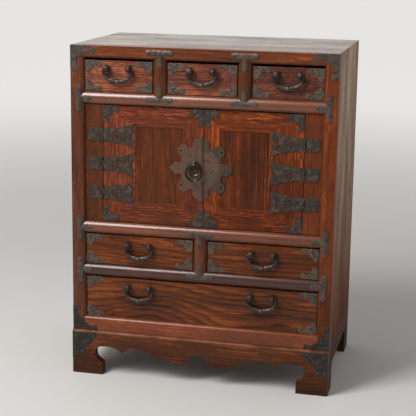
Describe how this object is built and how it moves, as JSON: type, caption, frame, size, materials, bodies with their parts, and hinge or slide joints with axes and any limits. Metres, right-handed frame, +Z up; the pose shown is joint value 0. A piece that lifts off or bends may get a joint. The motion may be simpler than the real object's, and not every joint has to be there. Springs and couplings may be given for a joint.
{
  "type": "antique cabinet with drawers and doors",
  "caption": "Low antique wooden cabinet on a scrolled bracket-foot stand, with drawers above and below a pair of strap-hinged doors and hammered iron fittings.",
  "frame": {"origin": "middle of the footprint, on the floor", "axes": "+Z up, +X to the right seen from the front, +Y to the back; doors and drawers open to -Y"},
  "size_m": [0.6, 0.3684, 0.765],
  "materials": {
    "case_wood": "oiled red-brown hardwood, polished by use on the rounded rails",
    "door_wood": "glossy orange-brown figured wood with dark grain",
    "panel_wood": "dark red-brown fine upright grain, satin",
    "drawer_wood": "figured red-brown wood, satin to glossy",
    "top_wood": "dull grey-brown, dry and worn, straight grain",
    "inner_wood": "plain unfinished softwood, matt",
    "iron": "hammered dark iron, brown patina",
    "dark_iron": "blue-black forged iron",
    "plate_iron": "rusty brown hammered iron",
    "handle_iron": "dark forged iron, rubbed smooth"
  },
  "bodies": {
    "cabinet": {"side_board_left": "top_wood", "side_board_right": "top_wood", "top_board": "top_wood", "back_board": "inner_wood", "post_left": "case_wood", "post_right": "case_wood", "top_rail": "case_wood", "upper_rail": "case_wood", "middle_rail": "case_wood", "lower_rail": "case_wood", "bottom_rail": "case_wood", "dividers": "case_wood", "partitions": "inner_wood", "upper_shelf": "inner_wood", "cupboard_floor": "inner_wood", "lower_shelf": "inner_wood", "bottom_board": "inner_wood", "drawer_guides": "inner_wood", "jambs": "case_wood", "stand_front": "case_wood", "stand_sides": "case_wood", "corner_irons": "iron", "strap_irons": "iron", "jamb_hinges": "dark_iron", "hinge_pins": "dark_iron"},
    "door_left": {"door_left_frame": "door_wood", "door_left_panel": "panel_wood", "door_left_irons": "dark_iron", "lock_plate_left": "plate_iron", "ring_staple": "plate_iron"},
    "door_right": {"door_right_frame": "door_wood", "door_right_panel": "panel_wood", "door_right_irons": "dark_iron", "lock_plate_right": "plate_iron"},
    "ring": {"ring_pull": "handle_iron"},
    "small_drawer_left": {"small_drawer_left_front": "drawer_wood", "small_drawer_left_box": "inner_wood", "small_drawer_left_irons": "iron"},
    "small_drawer_middle": {"small_drawer_middle_front": "drawer_wood", "small_drawer_middle_box": "inner_wood", "small_drawer_middle_irons": "iron"},
    "small_drawer_right": {"small_drawer_right_front": "drawer_wood", "small_drawer_right_box": "inner_wood", "small_drawer_right_irons": "iron"},
    "medium_drawer_left": {"medium_drawer_left_front": "drawer_wood", "medium_drawer_left_box": "inner_wood", "medium_drawer_left_irons": "iron"},
    "medium_drawer_right": {"medium_drawer_right_front": "drawer_wood", "medium_drawer_right_box": "inner_wood", "medium_drawer_right_irons": "iron"},
    "wide_drawer": {"wide_drawer_front": "drawer_wood", "wide_drawer_box": "inner_wood", "wide_drawer_irons": "iron"},
    "handle_small_left": {"handle_small_left": "handle_iron"},
    "handle_small_middle": {"handle_small_middle": "handle_iron"},
    "handle_small_right": {"handle_small_right": "handle_iron"},
    "handle_medium_left": {"handle_medium_left": "handle_iron"},
    "handle_medium_right": {"handle_medium_right": "handle_iron"},
    "handle_wide_left": {"handle_wide_left": "handle_iron"},
    "handle_wide_right": {"handle_wide_right": "handle_iron"}
  },
  "joints": [
    {"name": "small_drawer_left_slide", "type": "slide", "parent": "cabinet", "child": "small_drawer_left", "axis": [0, -1, 0], "range_m": [0, 0.22]},
    {"name": "small_drawer_middle_slide", "type": "slide", "parent": "cabinet", "child": "small_drawer_middle", "axis": [0, -1, 0], "range_m": [0, 0.22]},
    {"name": "small_drawer_right_slide", "type": "slide", "parent": "cabinet", "child": "small_drawer_right", "axis": [0, -1, 0], "range_m": [0, 0.22]},
    {"name": "medium_drawer_left_slide", "type": "slide", "parent": "cabinet", "child": "medium_drawer_left", "axis": [0, -1, 0], "range_m": [0, 0.22]},
    {"name": "medium_drawer_right_slide", "type": "slide", "parent": "cabinet", "child": "medium_drawer_right", "axis": [0, -1, 0], "range_m": [0, 0.22]},
    {"name": "wide_drawer_slide", "type": "slide", "parent": "cabinet", "child": "wide_drawer", "axis": [0, -1, 0], "range_m": [0, 0.22]},
    {"name": "door_left_hinge", "type": "hinge", "parent": "cabinet", "child": "door_left", "pos_m": [-0.23, -0.16675, 0.4995], "axis": [0, 0, -1], "range_deg": [0, 120]},
    {"name": "door_right_hinge", "type": "hinge", "parent": "cabinet", "child": "door_right", "pos_m": [0.23, -0.16675, 0.4995], "axis": [0, 0, 1], "range_deg": [0, 120]},
    {"name": "ring_swing", "type": "hinge", "parent": "door_left", "child": "ring", "pos_m": [-0.0142, -0.17925, 0.5095], "axis": [-1, 0, 0], "range_deg": [-5, 160]},
    {"name": "handle_small_left_swing", "type": "hinge", "parent": "small_drawer_left", "child": "handle_small_left", "pos_m": [-0.19067, -0.17575, 0.7155], "axis": [-1, 0, 0], "range_deg": [-5, 160]},
    {"name": "handle_small_middle_swing", "type": "hinge", "parent": "small_drawer_middle", "child": "handle_small_middle", "pos_m": [0, -0.17575, 0.7155], "axis": [-1, 0, 0], "range_deg": [-5, 160]},
    {"name": "handle_small_right_swing", "type": "hinge", "parent": "small_drawer_right", "child": "handle_small_right", "pos_m": [0.19067, -0.17575, 0.7155], "axis": [-1, 0, 0], "range_deg": [-5, 160]},
    {"name": "handle_medium_left_swing", "type": "hinge", "parent": "medium_drawer_left", "child": "handle_medium_left", "pos_m": [-0.143, -0.17575, 0.313], "axis": [-1, 0, 0], "range_deg": [-5, 160]},
    {"name": "handle_medium_right_swing", "type": "hinge", "parent": "medium_drawer_right", "child": "handle_medium_right", "pos_m": [0.143, -0.17575, 0.313], "axis": [-1, 0, 0], "range_deg": [-5, 160]},
    {"name": "handle_wide_left_swing", "type": "hinge", "parent": "wide_drawer", "child": "handle_wide_left", "pos_m": [-0.143, -0.17575, 0.2135], "axis": [-1, 0, 0], "range_deg": [-5, 160]},
    {"name": "handle_wide_right_swing", "type": "hinge", "parent": "wide_drawer", "child": "handle_wide_right", "pos_m": [0.143, -0.17575, 0.2135], "axis": [-1, 0, 0], "range_deg": [-5, 160]}
  ]
}
